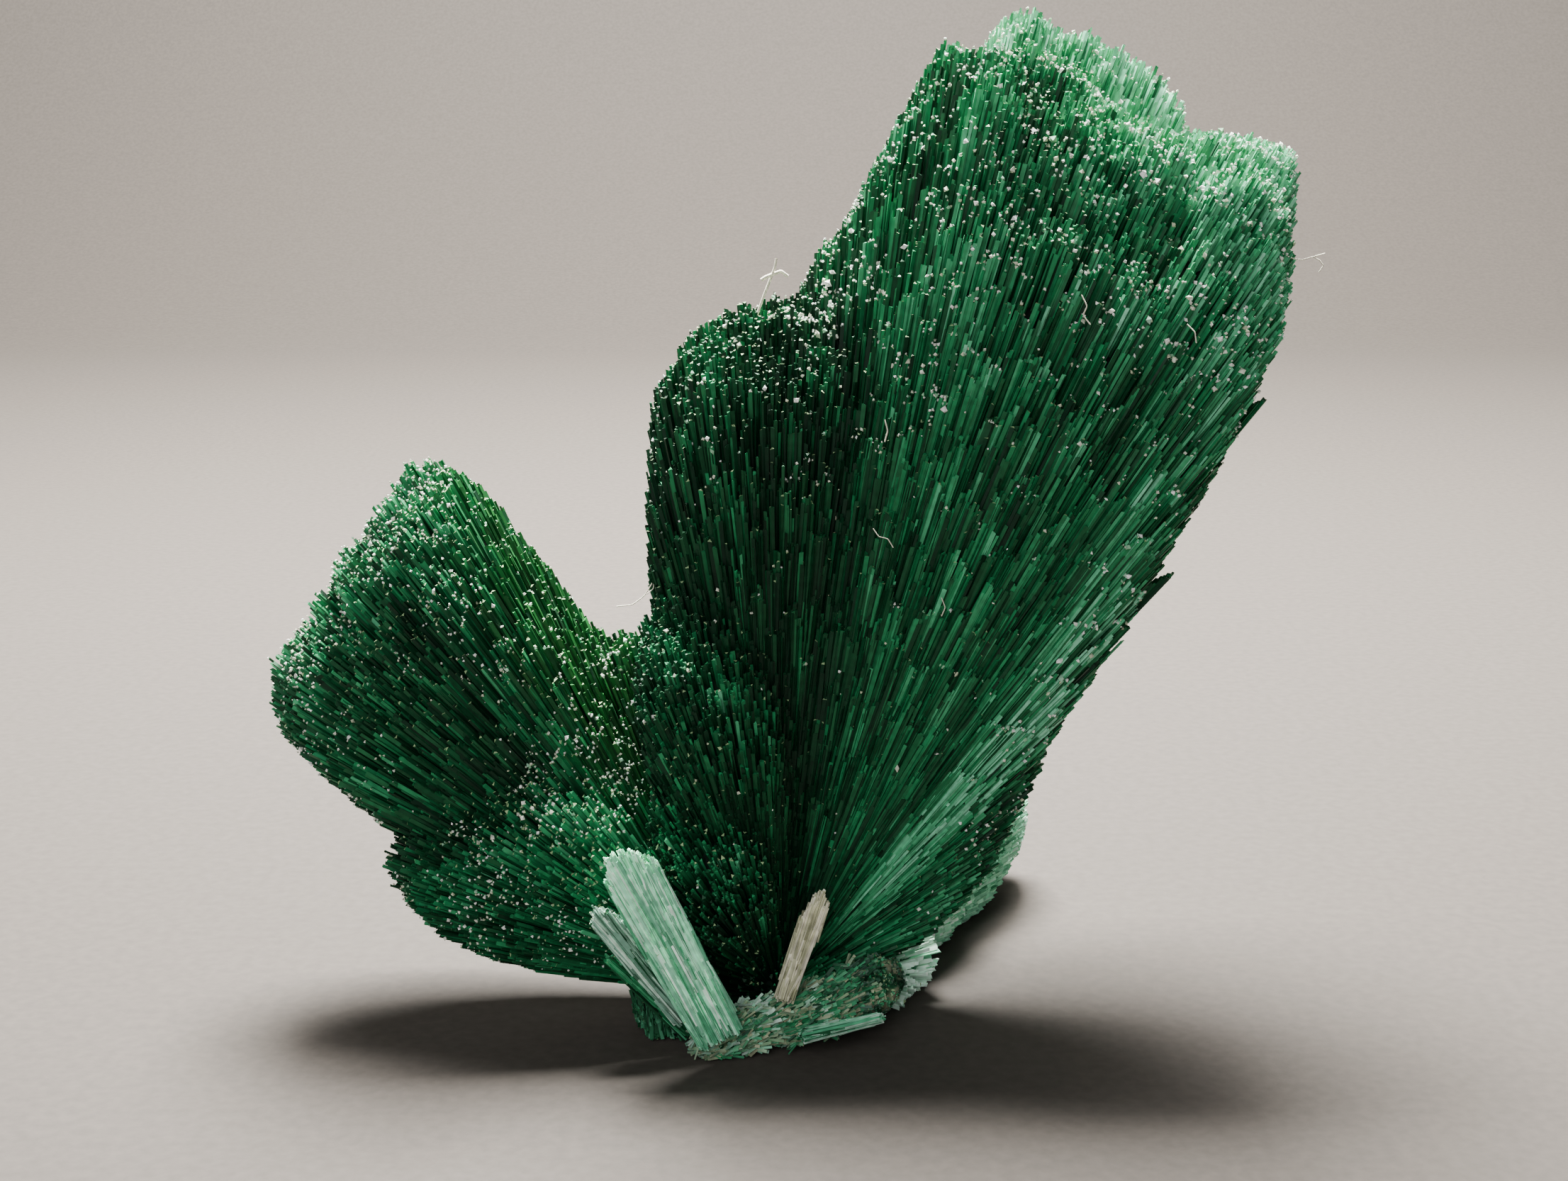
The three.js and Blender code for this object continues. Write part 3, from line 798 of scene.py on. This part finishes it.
# Hairs, each a path in millimetres from the front foot and a width
HAIRS = [
    ([(1.1, 4.3, 20.4), (1.35, 4.3, 21.1), (1.6, 4.25, 21.75)], 0.075),
    ([(1.6, 4.25, 21.75), (1.42, 4.2, 21.68), (1.3, 4.2, 21.6)], 0.1),
    ([(1.6, 4.25, 21.75), (1.68, 4.2, 21.95), (1.72, 4.2, 22.2)], 0.07),
    ([(1.6, 4.25, 21.75), (1.85, 4.2, 21.85), (2.05, 4.25, 21.7)], 0.09),
    ([(16.8, 7.0, 22.0), (17.1, 6.9, 21.95), (17.4, 6.8, 22.05), (17.75, 6.8, 22.15)], 0.035),
    ([(17.4, 6.8, 22.05), (17.6, 6.8, 21.95), (17.72, 6.8, 21.8), (17.6, 6.8, 21.6)], 0.035),
    ([(-1.8, 3.4, 13.1), (-2.05, 3.3, 12.7), (-2.4, 3.2, 12.45), (-2.85, 3.2, 12.4)], 0.035),
    ([(-1.8, 3.4, 13.1), (-1.8, 3.3, 12.9), (-2.0, 3.2, 12.75)], 0.03),
    ([(4.4, 1.6, 15.0), (4.55, 1.45, 14.8), (4.8, 1.4, 14.75), (4.95, 1.4, 14.5)], 0.03),
    ([(10.0, 1.9, 21.4), (10.15, 1.8, 21.1), (10.05, 1.8, 20.85), (10.25, 1.8, 20.6)], 0.035),
    ([(6.3, 1.3, 13.1), (6.4, 1.2, 12.85), (6.3, 1.2, 12.6)], 0.03),
    ([(4.7, 1.8, 18.0), (4.78, 1.7, 17.7), (4.7, 1.7, 17.4)], 0.04),
    ([(12.9, 1.9, 20.6), (13.1, 1.8, 20.4), (13.15, 1.8, 20.1)], 0.03),
]


def tube(path, width):
    """Corners and faces of a thin square tube through a smooth path."""
    path = np.array(path, float)
    stations = np.linspace(0, len(path) - 1, 6 * len(path))
    fine = np.stack([np.interp(stations, range(len(path)), path[:, k]) for k in range(3)], 1)
    fine[1:-1] = (fine[:-2] + 2 * fine[1:-1] + fine[2:]) / 4
    along = unit(np.gradient(fine, axis=0))
    side = unit(np.cross(along, [0.2, 1, 0.1]))
    other = np.cross(along, side)
    ring = [side, other, -side, -other]
    corners = np.stack([fine + edge * width / 2 for edge in ring], 1).reshape(-1, 3)
    low = np.arange(len(fine) - 1)[:, None] * 4
    k = np.arange(4)[None]
    faces = np.stack([low + k, low + (k + 1) % 4, low + 4 + (k + 1) % 4, low + 4 + k], 2)
    return corners, faces.reshape(-1, 4)


def lint():
    """Pale hairs caught on the needles."""
    corners, faces, start = [], [], 0
    for path, width in HAIRS:
        more, sides = tube(path, width)
        corners.append(more)
        faces.append(sides + start)
        start += len(more)
    corners = np.concatenate(corners)
    tint = np.tile(CREAM * 1.05, (len(corners), 1))
    hairs = object_from("lint", corners, np.concatenate(faces), tint, chalky, smooth=True)
    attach(hairs, "root")


def main_dust(tall):
    """Dust on the tall spray: on its crown and rims, and in drifts."""
    crown = 1.6 * rise(tall.distance, 15, 6) * fall(tall.angle, 37, 12, least=0.1)
    rims = 0.3 * (tall.facing > 0.75) + 1.5 * (tall.hollow < -0.12) + 0.04 + 0.1 * tall.broken
    rims *= rise(tall.distance, 7, 8, least=0.2)
    clean_column = rise(tall.angle, -1, 3, least=0.2)
    drifts = spots(tall, [
        ((3.3, 4.8, 21.1), 0.9, 30), ((4.1, 4.1, 21.9), 1.0, 12), ((2.6, 3.8, 20.3), 0.6, 14),
        ((8.0, 2.8, 24.3), 1.6, 3), ((12.5, 2.4, 20.1), 1.8, 2), ((8.5, 3.6, 5.8), 0.9, 4),
    ])
    weights = (crown + rims) * clean_column + drifts
    dust("main_dust", tall, weights, MAIN_GRAINS, fineness=0.88, seed=101)


def left_dust(low):
    """Dust on the lower spray: on the pyramid's ridge, on the edges, and in drifts."""
    ridge = 4.5 * (low.facing > 0.6) * bell(low.angle, -40, 12) * (low.distance > 8)
    edges = 1.5 * (low.hollow < -0.12) + 0.12
    drifts = spots(low, [
        ((-4.2, 1.9, 8.6), 0.9, 16), ((-2.7, 2.6, 7.6), 0.8, 9), ((-2.5, 3.9, 10.0), 0.8, 14),
    ])
    weights = ridge + edges + drifts
    dust("left_dust", low, weights, LEFT_GRAINS, fineness=0.68, seed=111)


tall_needles = main_spray()
low_needles = left_spray()
rear_spray()
shards()
lint()
for node, facts in SPLINTERS.items():
    splinter(node, **facts)
root_crust()
left_foot()
main_dust(tall_needles)
left_dust(low_needles)


# Camera, light and floor


def add_camera():
    """The photo's camera."""
    data = bpy.data.cameras.new("camera")
    data.lens = CAMERA_LENS
    data.sensor_width = 36.0
    data.clip_start = 0.001
    camera = bpy.data.objects.new("camera", data)
    camera.location = from_foot(CAMERA_PLACE)
    camera.rotation_euler = (math.radians(90 - CAMERA_PITCH), 0, 0)
    bpy.context.scene.collection.objects.link(camera)
    bpy.context.scene.camera = camera


def area_light(name, place, target, size, power, colour=(1, 1, 1)):
    """A square light, its place and target in millimetres from the front foot."""
    data = bpy.data.lights.new(name, "AREA")
    data.size = size * MM
    data.energy = power
    data.color = colour
    light = bpy.data.objects.new(name, data)
    light.location = from_foot(place)
    aim = Vector(from_foot(target)) - light.location
    light.rotation_euler = aim.to_track_quat("-Z", "Y").to_euler()
    bpy.context.scene.collection.objects.link(light)


def add_floor():
    """A pale floor that curves up behind, with a fine grain."""
    half, front, depth, top = 320.0, -260.0, 170.0, 260.0
    bend, bend_steps = 90.0, 12
    profile = [(front, 0.0), (depth, 0.0)]
    for k in range(1, bend_steps + 1):
        turn = math.radians(90 * k / bend_steps)
        profile.append((depth + bend * math.sin(turn), bend - bend * math.cos(turn)))
    profile.append((depth + bend, top))
    corners = np.array([(x, y, z) for y, z in profile for x in (-half, half)])
    faces = np.array([[2 * k, 2 * k + 1, 2 * k + 3, 2 * k + 2] for k in range(len(profile) - 1)])
    grey = np.array([0.073, 0.064, 0.055])
    tints = [grey * 0.9, grey, grey * 1.1]
    material = mottled_material(
        "floor", tints, scale=2600, roughness=0.75, bump=0.25, distance=0.00006
    )
    floor = object_from("floor", corners, faces, None, material, smooth=True)


def add_light():
    """A soft key light from above and behind, one on the backdrop and a weak one in front."""
    centre = (2, 6, 12)
    backdrop = (0, 260, 90)
    area_light("key", (-2, 63, 133), centre, size=60, power=2.05, colour=(1.0, 0.97, 0.93))
    area_light("backdrop", (0, 60, 190), backdrop, size=120, power=4.5, colour=(1.0, 0.98, 0.95))
    area_light("front", (-40, -130, 80), centre, size=110, power=0.12)
    world = bpy.context.scene.world or bpy.data.worlds.new("world")
    bpy.context.scene.world = world
    world.use_nodes = True
    background = world.node_tree.nodes["Background"]
    background.inputs["Color"].default_value = (0.9, 0.92, 0.95, 1)
    background.inputs["Strength"].default_value = 0.14


add_camera()
add_floor()
add_light()
